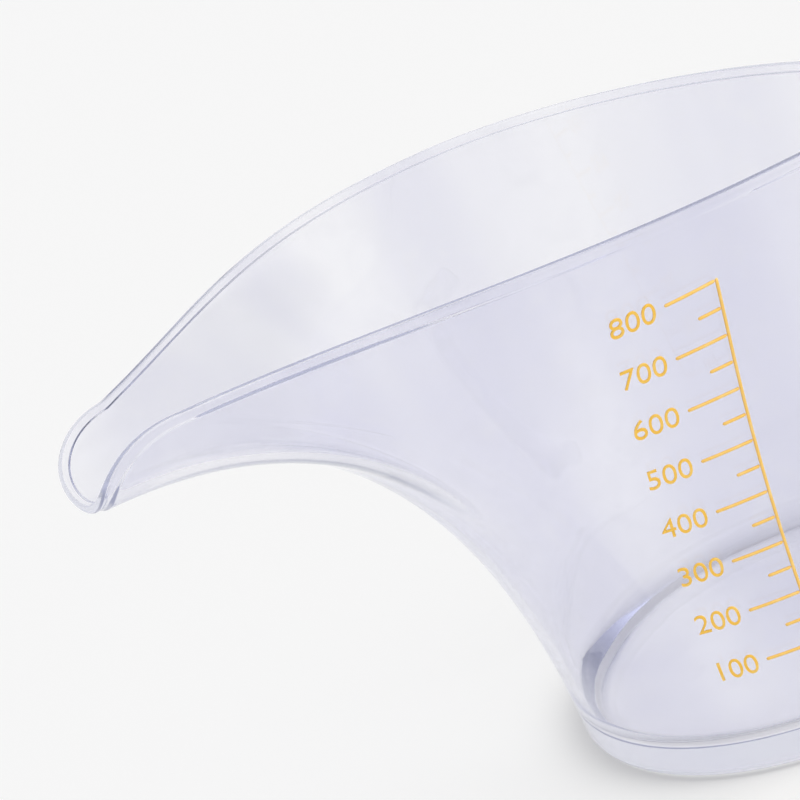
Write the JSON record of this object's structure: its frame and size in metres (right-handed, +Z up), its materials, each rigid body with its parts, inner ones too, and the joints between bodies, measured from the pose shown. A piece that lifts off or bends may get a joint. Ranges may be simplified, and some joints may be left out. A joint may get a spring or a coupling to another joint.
{
  "type": "measuring jug",
  "caption": "Clear plastic measuring jug with a round base, a long open pouring spout, a loop handle and a millilitre scale on one side.",
  "frame": {"origin": "centre of the round base, on the surface that the jug stands on", "axes": "+Z up, the spout points to -X, the handle to +X, and the scale faces -Y"},
  "size_m": [0.2328, 0.119, 0.1195],
  "materials": {
    "clear_plastic": "clear, polished",
    "clear_handle": "clear, polished",
    "amber_scale": "raised amber lines"
  },
  "bodies": {
    "root": {"jug_body": "clear_plastic", "handle": "clear_handle", "scale_spine": "amber_scale", "major_marks": "amber_scale", "minor_marks": "amber_scale"}
  },
  "joints": []
}
